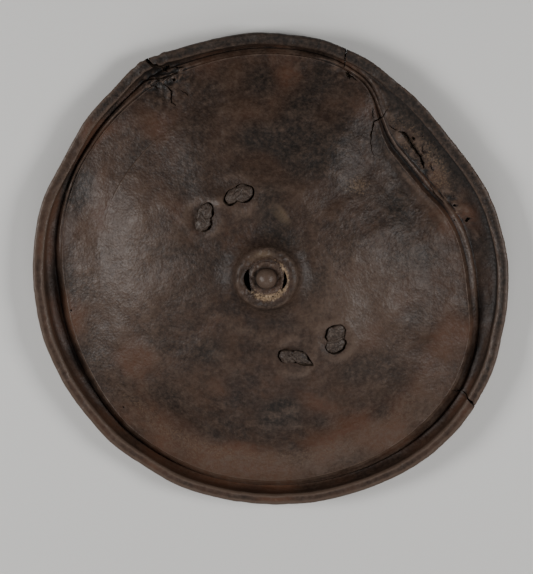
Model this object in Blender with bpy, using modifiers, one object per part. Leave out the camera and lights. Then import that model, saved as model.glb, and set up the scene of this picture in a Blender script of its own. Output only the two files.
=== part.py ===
"""An old round shield of moulded hide, lying face up, with its two-thong handle on the back.

Metres, +Z out of the front. The front's centre is the knob of the boss. Angles on the shield's face
are clock angles: 0 degrees points along +Y, and they grow clockwise as the front is seen.
"""
import math

import bmesh
import bpy
import numpy as np
from mathutils import Matrix, Vector

# The hide
EDGE_RADIUS = 0.252
HIDE = 0.006
EDGE_BAND = 0.0115
WORN_FLAT = 0.0008
AROUND = 50

# The section, from the centre out: heights stand above the plane that the shield lies on
DOME_HEIGHT = 0.064
SHOULDER_HEIGHT = 0.030
BRIM_HEIGHT = 0.0205
RIM_HEIGHT = 0.029
RIM_WAVE = 0.0015
# Widths, from the outer edge in: edge to channel's middle, channel to brim's edge, brim's edge to shoulder
RIM_WIDTH = 0.0155
FALL_WIDTH = 0.0065
BRIM_WIDTH = 0.044
CHANNEL_RADIUS = EDGE_RADIUS - RIM_WIDTH
BRIM_RADIUS = CHANNEL_RADIUS - FALL_WIDTH
SHOULDER_RADIUS = BRIM_RADIUS - BRIM_WIDTH

# The boss
BOSS_HEIGHT = 0.090
KNOB_RADIUS = 0.0106
DISC_RADIUS = 0.0160
DISC_HEIGHT = 0.0776
GROOVE_RADIUS = 0.0195
GROOVE_HEIGHT = 0.0765
MOUND_RADIUS = 0.045
MOUND_HEIGHT = 0.0805

# Swellings and dents of the outer edge: clock angle, outward move, half width of the bell in degrees
EDGE_MOVES = ((49, -0.015, 24), (130, 0.010, 28), (329, 0.007, 8), (299, -0.004, 10))

# How far the brim's edge is pushed in towards the boss, as clock angle and distance: the long dent at the
# upper right and the gap at the left. The rim's wall follows it by a share.
PUSHES = ((18, 0.0), (28, 0.006), (36, 0.032), (43, 0.045), (54, 0.046), (63, 0.043), (70, 0.034), (78, 0.028),
          (95, 0.020), (109, 0.006), (122, 0.0), (222, 0.0), (238, 0.007), (262, 0.0105), (280, 0.006), (298, 0.0))
PUSH_FOLLOWED = 0.72

# How far the brim's edge sags, as clock angle and distance, and where the sag starts
SAGS = ((16, 0.0085), (24, 0.004), (31, 0.0), (92, 0.0), (116, 0.0085), (225, 0.0085), (242, 0.0035), (258, 0.001),
        (300, 0.001), (318, 0.0035), (332, 0.0085))
SAG_START = 0.150

# How far the channel's floor is raised, as clock angle and height: in the dent, and at the upper left, where
# the brim runs almost level to the rim. The rise starts over the first share of the way to the rim's wall.
RISES = ((12, 0.0), (20, 0.009), (28, 0.0145), (36, 0.0145), (44, 0.011), (54, 0.008), (68, 0.006), (84, 0.004),
         (105, 0.0), (266, 0.0), (280, 0.008), (292, 0.0115), (318, 0.010), (332, 0.004), (346, 0.0))
RISE_STARTS = 0.2

# The crescent slots beside the knob: clock angle of the middle, half span in degrees, width
SLOTS = (("left", 270, 33, 0.0058), ("right", 90, 27, 0.0034))

# The four places where the handle's thongs come out: clock angle, distance as a share of the knot circle,
# turn of the long axis from +X, and half length and half width as shares of the knot size
KNOT_CIRCLE = 0.0905
KNOT_SIZE = 0.0148
KNOTS = {
    "upper_a": (311.6, 1.00, -76, 0.98, 0.58),
    "upper_b": (342.4, 1.00, 12, 1.00, 0.64),
    "lower_b": (132.9, 1.05, 67, 1.00, 0.73),
    "lower_a": (161.5, 1.02, -12, 1.03, 0.53),
}
KNOT_RISE = 0.0048
KNOT_GAP = 0.0012

# The handle on the back
THONG_RADIUS = 0.0045
THONG_GAP = 0.0010
NECK_GAP = 0.0018
FIT = 0.0004
GRIP_HEIGHT = 0.0115
GRIP_LENGTH = 0.072
GRIP_WALL = 0.0026
GRIP_BEND = 0.050

# Small holes: clock angle, distance as a share of the edge radius, and bore as a share of the pin radius
PIN_RADIUS = 0.0016
PIN_HOLES = ((258.3, 0.862, 1.0), (226.5, 0.862, 1.0), (54.4, 0.847, 0.8), (67.6, 0.835, 0.8), (74.9, 0.862, 1.5))

# Splits right through the hide: width as a share of the crack width, then the points of the middle line
# as clock angle and distance as a share of the edge radius
CRACK_WIDTH = 0.0014
CRACKS = {
    "rim_top_right": (1.0, ((18.4, 1.05), (19.3, 0.957), (20.0, 0.909))),
    "rim_lower_right": (0.9, ((122.9, 1.09), (122.5, 1.0), (122.2, 0.964))),
    "rim_upper_left": (2.2, ((331.0, 1.08), (330.2, 1.0), (331.5, 0.955))),
    "field_upper_left": (1.2, ((330.4, 0.889), (331.2, 0.84), (330.7, 0.797))),
    "field_upper_right": (1.2, ((35.7, 0.856), (35.9, 0.804), (34.8, 0.769), (36.2, 0.722), (37.9, 0.692),
                                (42.6, 0.647))),
    "long_tear": (3.0, ((42.4, 0.798), (44.1, 0.809), (47.2, 0.801), (49.8, 0.798), (51.9, 0.795), (54.8, 0.787),
                        (55.5, 0.771))),
}


def clock_point(clock, radius, height=0.0):
    """The point at a clock angle and a distance from the boss."""
    turn = math.radians(clock)
    return Vector((radius * math.sin(turn), radius * math.cos(turn), height))


def bell(clock, middle, width):
    """1 at the middle angle, falling to nothing a few widths away."""
    away = (clock - middle + 180) % 360 - 180
    return math.exp(-(away / width) ** 2)


def edge_radius(clock):
    """Distance from the boss to the outer edge of the real, uneven outline."""
    return EDGE_RADIUS + sum(move * bell(clock, middle, width) for middle, move, width in EDGE_MOVES)


def along_edge(table, clock):
    """The value at a clock angle, between the rows of a table of clock angles and values."""
    clocks, values = zip(*table)
    return float(np.interp(clock, clocks, values))


def soft_step(share):
    """0 up to 0, 1 from 1 on, and an S between."""
    share = np.clip(share, 0, 1)
    return share * share * (3 - 2 * share)


def dome_height(radius):
    """Height of the domed front at a distance from the boss, out to the shoulder."""
    rise = DOME_HEIGHT - SHOULDER_HEIGHT
    return DOME_HEIGHT - rise * (radius / SHOULDER_RADIUS) ** 2


def smooth_line(points, parts):
    """A Catmull-Rom line through the points, with the given number of parts between two of them."""
    first = [2 * a - b for a, b in zip(points[0], points[1])]
    last = [2 * a - b for a, b in zip(points[-1], points[-2])]
    row = np.array([first, *points, last])
    line = []
    for before, start, end, after in zip(row, row[1:], row[2:], row[3:]):
        for share in np.arange(parts) / parts:
            line.append(0.5 * (2 * start + (end - before) * share
                               + (2 * before - 5 * start + 4 * end - after) * share ** 2
                               + (3 * start - before - 3 * end + after) * share ** 3))
    return [tuple(point) for point in line] + [tuple(points[-1])]


def rim_line():
    """The front of the brim, the channel and the rim's inner wall, from the shoulder out."""
    floor = HIDE - WORN_FLAT
    rim_inner = EDGE_RADIUS - EDGE_BAND
    half_fall = (BRIM_RADIUS + CHANNEL_RADIUS) / 2 + HIDE * 0.25
    half_rise = (CHANNEL_RADIUS + rim_inner) / 2 + HIDE * 0.3
    return smooth_line([
        (SHOULDER_RADIUS, SHOULDER_HEIGHT),
        (BRIM_RADIUS, BRIM_HEIGHT),
        (half_fall, floor + 0.35 * (BRIM_HEIGHT - floor)),
        (CHANNEL_RADIUS, floor),
        (half_rise, floor + 0.3 * (RIM_HEIGHT - floor)),
        (rim_inner, RIM_HEIGHT - 0.2 * EDGE_BAND),
    ], 2)


def offset_line(line):
    """The line's other face: the hide's thickness below it, growing to the width of the cut edge."""
    points = np.array(line)
    along = np.gradient(points, axis=0)
    along /= np.linalg.norm(along, axis=1, keepdims=True)
    down = np.stack([along[:, 1], -along[:, 0]], axis=1)
    upright = np.clip((points[:, 0] - CHANNEL_RADIUS) / (EDGE_RADIUS - EDGE_BAND - CHANNEL_RADIUS), 0, 1)
    thick = HIDE + (EDGE_BAND - HIDE) * upright
    return [tuple(point) for point in points + down * thick[:, None]]


def section():
    """The hide's whole section, as (distance, height), from the knob's top round to the back's middle."""
    knob = [(KNOB_RADIUS * math.sin(turn), BOSS_HEIGHT - KNOB_RADIUS * (1 - math.cos(turn)))
            for turn in np.linspace(0, math.pi / 2, 5)]
    crest = 0.58 * MOUND_RADIUS
    brow = 0.70 * MOUND_RADIUS
    slope = 0.80 * MOUND_RADIUS
    boss = [
        (DISC_RADIUS, DISC_HEIGHT),
        (GROOVE_RADIUS, GROOVE_HEIGHT),
        ((GROOVE_RADIUS + crest) / 2, (GROOVE_HEIGHT + 2 * MOUND_HEIGHT) / 3),
        (crest, MOUND_HEIGHT),
        (brow, MOUND_HEIGHT - 0.3 * HIDE),
        (slope, 0.35 * MOUND_HEIGHT + 0.65 * dome_height(slope)),
        (MOUND_RADIUS, dome_height(MOUND_RADIUS)),
    ]
    dome = [(radius, dome_height(radius))
            for radius in np.linspace(MOUND_RADIUS, SHOULDER_RADIUS, 8)[1:-1]]
    rim = rim_line()
    cut_edge = [(EDGE_RADIUS - 0.75 * EDGE_BAND, RIM_HEIGHT), (EDGE_RADIUS - 0.25 * EDGE_BAND, RIM_HEIGHT)]
    roof = GROOVE_HEIGHT - HIDE
    back_boss = [(MOUND_RADIUS, dome_height(MOUND_RADIUS) - HIDE), (crest, roof - 0.25 * HIDE), (0.0, roof)]
    return knob + boss + dome + rim + cut_edge + offset_line(dome + rim)[::-1] + back_boss


def warp(point):
    """Moves a point of the turned shield to where the real, dented one has it."""
    x, y, height = point
    radius = math.hypot(x, y)
    clock = math.degrees(math.atan2(x, y)) % 360
    move = edge_radius(clock) - EDGE_RADIUS
    push = along_edge(PUSHES, clock)
    lip = BRIM_RADIUS - 1.5 * HIDE
    drop = CHANNEL_RADIUS - 0.5 * HIDE
    rim_inner = EDGE_RADIUS - EDGE_BAND
    turned = (0.0, 0.5 * SHOULDER_RADIUS, lip, BRIM_RADIUS, drop, CHANNEL_RADIUS, rim_inner, EDGE_RADIUS)
    real = (0.0, 0.5 * SHOULDER_RADIUS, lip - push + 0.25 * move, BRIM_RADIUS - push + 0.25 * move,
            drop - push + 0.25 * move, CHANNEL_RADIUS - PUSH_FOLLOWED * push + 0.8 * move, rim_inner + move,
            EDGE_RADIUS + move)
    moved = np.interp(radius, turned, real)
    outward = np.clip((radius - CHANNEL_RADIUS) / RIM_WIDTH, 0, 1)
    wave = RIM_WAVE * math.sin(math.radians(3 * clock)) * np.clip(height / RIM_HEIGHT, 0, 1) * outward
    bend = soft_step((radius - SAG_START) / (BRIM_RADIUS - SAG_START))
    fade = np.clip((CHANNEL_RADIUS - radius) / FALL_WIDTH, 0, 1)
    sag = along_edge(SAGS, clock) * bend * fade
    trough = (moved - real[3]) / (real[6] - real[3])
    below = np.clip((RIM_HEIGHT - height) / (RIM_HEIGHT - HIDE), 0, 1)
    rise = along_edge(RISES, clock) * soft_step(trough / RISE_STARTS) * below
    share = moved / radius if radius > 0 else 1.0
    return x * share, y * share, height + wave + rise - sag


def make_material(name, colour, roughness):
    material = bpy.data.materials.new(name)
    material.use_nodes = True
    shader = material.node_tree.nodes["Principled BSDF"]
    shader.inputs["Base Color"].default_value = (*colour, 1)
    shader.inputs["Roughness"].default_value = roughness
    shader.inputs["Metallic"].default_value = 0.0
    material.diffuse_color = (*colour, 1)
    return material


def make_collection(name):
    collection = bpy.data.collections.new(name)
    bpy.context.scene.collection.children.link(collection)
    return collection


def put(name, mesh, collection, material=None):
    """A new object with the mesh, in the collection."""
    thing = bpy.data.objects.new(name, mesh)
    collection.objects.link(thing)
    if material:
        mesh.materials.append(material)
    return thing


def put_cutter(name, mesh, collection):
    cutter = put(name, mesh, collection)
    cutter.hide_render = True
    cutter.display_type = "WIRE"
    return cutter


def finish_mesh(name, work):
    """Closes a bmesh into a mesh with its faces pointing out."""
    bmesh.ops.remove_doubles(work, verts=work.verts, dist=0.000001)
    bmesh.ops.recalc_face_normals(work, faces=work.faces)
    mesh = bpy.data.meshes.new(name)
    work.to_mesh(mesh)
    work.free()
    return mesh


def boolean(thing, other, operation):
    step = thing.modifiers.new(other.name, "BOOLEAN")
    step.operation = operation
    step.solver = "EXACT"
    step.object = other


def bake(thing):
    """Replaces an object's mesh by the one that its modifiers give."""
    bpy.context.view_layer.update()
    shaped = thing.evaluated_get(bpy.context.evaluated_depsgraph_get())
    mesh = bpy.data.meshes.new_from_object(shaped)
    mesh.name = thing.name
    thing.modifiers.clear()
    thing.data = mesh
    return mesh


def turned_hide(name, collection, material):
    """The section turned about the boss, then moved to the real outline and dent."""
    work = bmesh.new()
    corners = [work.verts.new((radius, 0, height)) for radius, height in section()]
    for start, end in zip(corners, corners[1:]):
        work.edges.new((start, end))
    mesh = bpy.data.meshes.new(name)
    work.to_mesh(mesh)
    work.free()
    shell = put(name, mesh, collection, material)
    screw = shell.modifiers.new("turn", "SCREW")
    screw.steps = screw.render_steps = AROUND
    screw.use_merge_vertices = True
    screw.merge_threshold = 0.00001
    screw.use_smooth_shade = True
    bake(shell)
    for vertex in shell.data.vertices:
        vertex.co = warp(vertex.co)
    return shell


def block(name, low, high, collection):
    """A box cutter between two corners."""
    work = bmesh.new()
    bmesh.ops.create_cube(work, size=1.0)
    size = [b - a for a, b in zip(low, high)]
    middle = [(a + b) / 2 for a, b in zip(low, high)]
    bmesh.ops.transform(work, matrix=Matrix.Translation(middle) @ Matrix.Diagonal((*size, 1)), verts=work.verts)
    return put_cutter(name, finish_mesh(name, work), collection)


def arc_slot(name, clock, half_span, radius, width, collection):
    """A cutter for a crescent slot: a bar swept round part of a circle, thinner at both ends."""
    work = bmesh.new()
    steps = 8
    rings = []
    for number in range(steps + 1):
        share = 2 * number / steps - 1
        half = 0.5 * width * (1 - 0.75 * share ** 2)
        turn = clock + share * half_span
        ring = [clock_point(turn, radius + side * half, height)
                for side, height in ((-1, 0.5 * GROOVE_HEIGHT), (1, 0.5 * GROOVE_HEIGHT),
                                     (1, BOSS_HEIGHT), (-1, BOSS_HEIGHT))]
        rings.append([work.verts.new(corner) for corner in ring])
    for ring, after in zip(rings, rings[1:]):
        for side in range(4):
            around = (side + 1) % 4
            work.faces.new((ring[side], ring[around], after[around], after[side]))
    work.faces.new(rings[0])
    work.faces.new(rings[-1])
    return put_cutter(name, finish_mesh(name, work), collection)


def ribbon_cutter(name, points, width, collection):
    """A cutter for a split: an upright blade along the points, as wide as given in its middle."""
    work = bmesh.new()
    line = [Vector(point) for point in points]
    rings = []
    for number, point in enumerate(line):
        before = line[max(number - 1, 0)]
        after = line[min(number + 1, len(line) - 1)]
        along = (after - before).normalized()
        side = Vector((along.y, -along.x, 0))
        share = abs(2 * number / (len(line) - 1) - 1)
        half = 0.5 * width * (1 - 0.7 * share)
        low, high = -HIDE, RIM_HEIGHT + 2 * HIDE
        ring = [point - side * half + Vector((0, 0, low)), point + side * half + Vector((0, 0, low)),
                point + side * half + Vector((0, 0, high)), point - side * half + Vector((0, 0, high))]
        rings.append([work.verts.new(corner) for corner in ring])
    for ring, after in zip(rings, rings[1:]):
        for side in range(4):
            around = (side + 1) % 4
            work.faces.new((ring[side], ring[around], after[around], after[side]))
    work.faces.new(rings[0])
    work.faces.new(rings[-1])
    return put_cutter(name, finish_mesh(name, work), collection)


def rod_cutter(name, foot, direction, radius, length, sides, collection):
    """A round cutter of the given length, centred on a point."""
    work = bmesh.new()
    bmesh.ops.create_cone(work, cap_ends=True, segments=sides, radius1=radius, radius2=radius, depth=length)
    turn = Vector((0, 0, 1)).rotation_difference(direction).to_matrix().to_4x4()
    bmesh.ops.transform(work, matrix=Matrix.Translation(foot) @ turn, verts=work.verts)
    return put_cutter(name, finish_mesh(name, work), collection)


def knot_frame(name):
    """The place and tilt of a knot: its middle on the front, X along it, Z along the surface's normal."""
    clock, reach, turn = KNOTS[name][:3]
    radius = reach * KNOT_CIRCLE
    x, y = clock_point(clock, radius).xy
    slope = -2 * (DOME_HEIGHT - SHOULDER_HEIGHT) * radius / SHOULDER_RADIUS ** 2
    normal = Vector((-slope * x / radius, -slope * y / radius, 1)).normalized()
    tilt = Vector((0, 0, 1)).rotation_difference(normal).to_matrix().to_4x4()
    place = Matrix.Translation((x, y, dome_height(radius)))
    return place @ tilt @ Matrix.Rotation(math.radians(turn), 4, "Z")


def ellipsoid(name, frame, middle, half_sizes, collection):
    """A round lump with its own half sizes, in a knot's frame."""
    work = bmesh.new()
    bmesh.ops.create_uvsphere(work, u_segments=14, v_segments=7, radius=1.0)
    place = frame @ Matrix.Translation(middle) @ Matrix.Diagonal((*half_sizes, 1))
    bmesh.ops.transform(work, matrix=place, verts=work.verts)
    return put_cutter(name, finish_mesh(name, work), collection)


def knot_sizes(name):
    """Half length, half width and rise of a knot."""
    return Vector((KNOT_SIZE * KNOTS[name][3], KNOT_SIZE * KNOTS[name][4], KNOT_RISE))


def seat_knot(shell, name, collection):
    """Cuts the sunken oval seat of a knot, and the hole for the thong's neck below it."""
    frame = knot_frame(name)
    sizes = [size + KNOT_GAP for size in knot_sizes(name)]
    boolean(shell, ellipsoid(f"seat_{name}", frame, (0, 0, 0), sizes, collection), "DIFFERENCE")
    normal = frame.to_3x3() @ Vector((0, 0, 1))
    neck = rod_cutter(f"neck_{name}", frame.translation, normal, THONG_RADIUS + NECK_GAP, 4 * HIDE, 16, collection)
    boolean(shell, neck, "DIFFERENCE")


def thong_route(start, end, aside):
    """The thong's own points: from one knot, down behind the hide, along the grip and up to the other."""
    ends = []
    for name in (start, end):
        frame = knot_frame(name)
        normal = (frame.to_3x3() @ Vector((0, 0, 1))).normalized()
        ends.append((frame.translation, normal))
    grip = grip_axis()
    side = Vector((grip.y, -grip.x, 0)) * aside
    rows = []
    for (place, normal), sign in zip(ends, (-1, 1)):
        inner = grip * (sign * GRIP_BEND) + 1.4 * side
        knee = place - normal * (HIDE + 2.6 * THONG_RADIUS)
        mid = (Vector((knee.x, knee.y, 0)) * 0.62 + Vector((inner.x, inner.y, 0)) * 0.38)
        mid.z = GRIP_HEIGHT + 0.5 * (knee.z - GRIP_HEIGHT)
        inner.z = GRIP_HEIGHT + 0.04 * (knee.z - GRIP_HEIGHT)
        rows.append([place, place - normal * HIDE, knee, mid, inner])
    middle = [grip * (sign * GRIP_LENGTH / 4) + side + Vector((0, 0, GRIP_HEIGHT)) for sign in (-1, 1)]
    return rows[0] + middle + rows[1][::-1]


def grip_axis():
    """The grip's direction on the back: from the upper pair of knots to the lower pair."""
    upper = knot_frame("upper_a").translation + knot_frame("upper_b").translation
    lower = knot_frame("lower_a").translation + knot_frame("lower_b").translation
    along = lower - upper
    return Vector((along.x, along.y, 0)).normalized()


def tube(name, points, radius, collection, material=None):
    """A closed round tube along the points."""
    curve = bpy.data.curves.new(name, "CURVE")
    curve.dimensions = "3D"
    curve.bevel_depth = radius
    curve.bevel_resolution = 2
    curve.use_fill_caps = True
    route = smooth_line([tuple(point) for point in points], 3)
    spline = curve.splines.new("POLY")
    spline.points.add(len(route) - 1)
    for place, point in zip(spline.points, route):
        place.co = (*point, 1)
    guide = put(name + "_line", curve, collection)
    bpy.context.view_layer.update()
    mesh = bpy.data.meshes.new_from_object(guide.evaluated_get(bpy.context.evaluated_depsgraph_get()))
    bpy.data.objects.remove(guide)
    work = bmesh.new()
    work.from_mesh(mesh)
    bpy.data.meshes.remove(mesh)
    return put(name, finish_mesh(name, work), collection, material)


def make_thong(name, start, end, aside, parts, cutters, material):
    """One thong of the handle, with a folded knot at each end."""
    route = thong_route(start, end, aside)
    thong = tube(name, route, THONG_RADIUS, parts, material)
    for place in (start, end):
        length, width, rise = knot_sizes(place)
        for lobe, share, full in (("fold", 0.36, 0.90), ("tip", -0.44, 0.80)):
            sizes = (length * (1 - abs(share)), width * full, rise * full)
            middle = (length * share, 0.04 * width, 0.05 * rise * share)
            lump = ellipsoid(f"{place}_{lobe}", knot_frame(place), middle, sizes, cutters)
            boolean(thong, lump, "UNION")
    return thong, route


def make_grip(name, routes, parts, cutters, material):
    """The sewn hide sleeve that binds the two thongs into a grip, flat towards the back."""
    width = 4 * THONG_RADIUS + THONG_GAP + 2 * GRIP_WALL
    depth = 2 * (THONG_RADIUS + GRIP_WALL)
    work = bmesh.new()
    bmesh.ops.create_cube(work, size=1.0)
    along = grip_axis()
    place = Matrix.Translation((0, 0, GRIP_HEIGHT)) @ Matrix.Rotation(math.atan2(along.y, along.x), 4, "Z")
    bmesh.ops.transform(work, matrix=Matrix.Diagonal((GRIP_LENGTH, width, depth, 1)), verts=work.verts)
    grip = put(name, finish_mesh(name, work), parts, material)
    grip.data.transform(place)
    soft = grip.modifiers.new("rounded", "BEVEL")
    soft.width = 0.8 * GRIP_WALL
    soft.segments = 2
    for number, route in enumerate(routes):
        tunnel = tube(f"tunnel_{number}", route, THONG_RADIUS + FIT, cutters)
        tunnel.hide_render = True
        tunnel.display_type = "WIRE"
        boolean(grip, tunnel, "DIFFERENCE")
    return grip


def build():
    for thing in list(bpy.data.objects):
        bpy.data.objects.remove(thing)
    parts = make_collection("hide_buckler_shield")
    cutters = make_collection("cutters")
    hide = make_material("dark_hide", (0.050, 0.033, 0.026), 0.62)
    thong_hide = make_material("thong_hide", (0.075, 0.055, 0.042), 0.68)
    sleeve_hide = make_material("sleeve_hide", (0.062, 0.040, 0.028), 0.66)

    shell = turned_hide("hide_shell", parts, hide)
    for side, clock, half_span, width in SLOTS:
        boolean(shell, arc_slot(f"slot_{side}", clock, half_span, GROOVE_RADIUS, width, cutters), "DIFFERENCE")
    for name in KNOTS:
        seat_knot(shell, name, cutters)
    upright = Vector((0, 0, 1))
    for number, (clock, reach, bore) in enumerate(PIN_HOLES):
        foot = clock_point(clock, reach * EDGE_RADIUS, HIDE)
        pin = rod_cutter(f"pin_{number}", foot, upright, bore * PIN_RADIUS, 12 * HIDE, 8, cutters)
        boolean(shell, pin, "DIFFERENCE")
    for name, (wide, points) in CRACKS.items():
        line = [clock_point(clock, reach * EDGE_RADIUS) for clock, reach in points]
        boolean(shell, ribbon_cutter(name, line, wide * CRACK_WIDTH, cutters), "DIFFERENCE")
    reach = 2 * EDGE_RADIUS
    ground = block("ground", (-reach, -reach, -HIDE), (reach, reach, 0.0), cutters)
    boolean(shell, ground, "DIFFERENCE")

    aside = THONG_RADIUS + THONG_GAP / 2
    thong_a, route_a = make_thong("handle_thong_a", "upper_a", "lower_a", aside, parts, cutters, thong_hide)
    thong_b, route_b = make_thong("handle_thong_b", "upper_b", "lower_b", -aside, parts, cutters, thong_hide)
    grip = make_grip("grip_sleeve", (route_a, route_b), parts, cutters, sleeve_hide)

    corners = [vertex.co for vertex in shell.data.vertices]
    middle = [(min(corner[axis] for corner in corners) + max(corner[axis] for corner in corners)) / 2
              for axis in range(2)]
    stand = bpy.data.objects.new("shield_frame", None)
    parts.objects.link(stand)
    stand.location = (-middle[0], -middle[1], 0)
    for thing in [*parts.objects, *cutters.objects]:
        if thing is not stand:
            thing.parent = stand
    for thing in (shell, thong_a, thong_b, grip):
        thing.data.shade_smooth()
        thing.data.set_sharp_from_angle(angle=math.radians(40))
    print("boss axis at", round(-middle[0], 5), round(-middle[1], 5))


build()
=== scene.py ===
# An old round shield of moulded hide, lying face up: its finish, its light and its camera.
# Clock angles are in degrees from +Y, growing clockwise as the front is seen.
import math

import bmesh
import bpy
import numpy as np
from mathutils import Matrix, Vector


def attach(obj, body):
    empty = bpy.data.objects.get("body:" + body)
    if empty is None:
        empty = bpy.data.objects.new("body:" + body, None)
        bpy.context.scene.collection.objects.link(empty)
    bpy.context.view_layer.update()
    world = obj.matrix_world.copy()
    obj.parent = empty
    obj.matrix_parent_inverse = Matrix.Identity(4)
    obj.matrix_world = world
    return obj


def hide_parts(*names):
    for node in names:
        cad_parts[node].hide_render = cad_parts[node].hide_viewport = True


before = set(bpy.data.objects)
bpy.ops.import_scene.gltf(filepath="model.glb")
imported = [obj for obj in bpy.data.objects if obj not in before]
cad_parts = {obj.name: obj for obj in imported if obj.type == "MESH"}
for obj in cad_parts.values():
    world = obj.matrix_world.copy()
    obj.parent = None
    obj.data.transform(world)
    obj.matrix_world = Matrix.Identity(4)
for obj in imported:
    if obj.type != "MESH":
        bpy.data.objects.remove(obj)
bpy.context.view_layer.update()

scene = bpy.context.scene

# the hide's form, in metres
hide = {
    "bossPlace": (-0.00024, 0.00038),
    "edgeRadius": 0.252,
    "thickness": 0.006,
    "edgeBand": 0.0115,
    "wornFlat": 0.0008,
    "domeHeight": 0.064,
    "shoulderRadius": 0.186,
    "shoulderHeight": 0.03,
    "brimRadius": 0.23,
    "brimHeight": 0.0205,
    "channelRadius": 0.2365,
    "rimHeight": 0.029,
    "rimWave": 0.0015,
    "bossHeight": 0.09,
    "knobRadius": 0.0106,
    "discRadius": 0.016,
    "discHeight": 0.0776,
    "grooveRadius": 0.0195,
    "grooveHeight": 0.0765,
    "moundRadius": 0.045,
    "moundHeight": 0.0805,
    "moundShares": (0.58, 0.7, 0.8),  # crest, brow and slope, as shares of the mound's radius
    "moundFoot": 0.012,
    # clock angle, outward move and half width of each swelling or dent of the outer edge
    "edgeMoves": ((49, -0.015, 24), (130, 0.01, 28), (329, 0.007, 8), (299, -0.004, 10)),
    # clock angle and how far the brim's edge is pushed in towards the boss
    "pushes": ((18, 0.0), (28, 0.006), (36, 0.032), (43, 0.045), (54, 0.046), (63, 0.043), (70, 0.034),
               (78, 0.028), (95, 0.02), (109, 0.006), (122, 0.0), (222, 0.0), (238, 0.007), (262, 0.0105),
               (280, 0.006), (298, 0.0)),
    "pushFollowed": 0.72,
    # clock angle and how far the brim's edge sags
    "sags": ((16, 0.0085), (24, 0.004), (31, 0.0), (92, 0.0), (116, 0.0085), (225, 0.0085), (242, 0.0035),
             (258, 0.001), (300, 0.001), (318, 0.0035), (332, 0.0085)),
    "sagStart": 0.15,
    # clock angle and how far the channel's floor is raised
    "rises": ((12, 0.0), (20, 0.009), (28, 0.0145), (36, 0.0145), (44, 0.011), (54, 0.008), (68, 0.006), (84, 0.004),
              (105, 0.0), (266, 0.0), (280, 0.008), (292, 0.0115), (318, 0.01), (332, 0.004), (346, 0.0)),
    "riseStarts": 0.2,
    "around": 450,
}
centre = np.array(hide["bossPlace"])


def bell(value, middle, width):  # 1 at the middle, falling off as exp(-(distance / width) squared)
    return np.exp(-((value - middle) / width) ** 2)


def clockBell(clock, middle, width):  # the same bell, round the circle
    return np.exp(-(((clock - middle + 180) % 360 - 180) / width) ** 2)


def softStep(value, start, end):  # 0 before start, 1 after end, and an S between
    share = np.clip((value - start) / (end - start), 0, 1)
    return share * share * (3 - 2 * share)


def softNoise(x, y, size, seed, waves=26):
    # a sum of cosine waves with random directions, phases and lengths near size, with a spread of about 1
    draw = np.random.default_rng(seed)
    turn = draw.uniform(0, 2 * np.pi, waves)
    push = 2 * np.pi / size * draw.uniform(0.6, 1.5, waves)
    phase = draw.uniform(0, 2 * np.pi, waves)
    total = np.zeros(np.broadcast(x, y).shape)
    for k in range(waves):
        total += np.cos(push[k] * (np.cos(turn[k]) * x + np.sin(turn[k]) * y) + phase[k])
    return total / math.sqrt(waves / 2)


def smoothLine(points, parts):
    # a Catmull-Rom curve through the points, with so many parts between two of them
    row = np.array(points, float)
    row = np.vstack([2 * row[0] - row[1], row, 2 * row[-1] - row[-2]])
    share = (np.arange(parts) / parts)[None, :, None]
    a, b, c, d = (row[k:len(row) - 3 + k][:, None, :] for k in range(4))
    line = 0.5 * (2 * b + (c - a) * share + (2 * a - 5 * b + 4 * c - d) * share ** 2
                  + (3 * b - a - 3 * c + d) * share ** 3)
    return np.vstack([line.reshape(-1, row.shape[1]), row[-2]])


def domeHeight(radius):  # the dome falls from its middle with the square of the distance
    h = hide
    return h["domeHeight"] - (h["domeHeight"] - h["shoulderHeight"]) * (radius / h["shoulderRadius"]) ** 2


def domeSlope(radius):
    return 2 * (hide["domeHeight"] - hide["shoulderHeight"]) * radius / hide["shoulderRadius"] ** 2


def edgeRadius(clock):  # the edge's circle, with a bell added for each swelling or dent
    return hide["edgeRadius"] + sum(move * clockBell(clock, middle, width)
                                    for middle, move, width in hide["edgeMoves"])


def alongEdge(table, clock):
    # straight lines between the table's rows, rounded by averaging over 6 degrees
    places, values = zip(*hide[table])
    return sum(np.interp((clock + turn) % 360, places, values) for turn in (-3, -1.5, 0, 1.5, 3)) / 5


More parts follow.
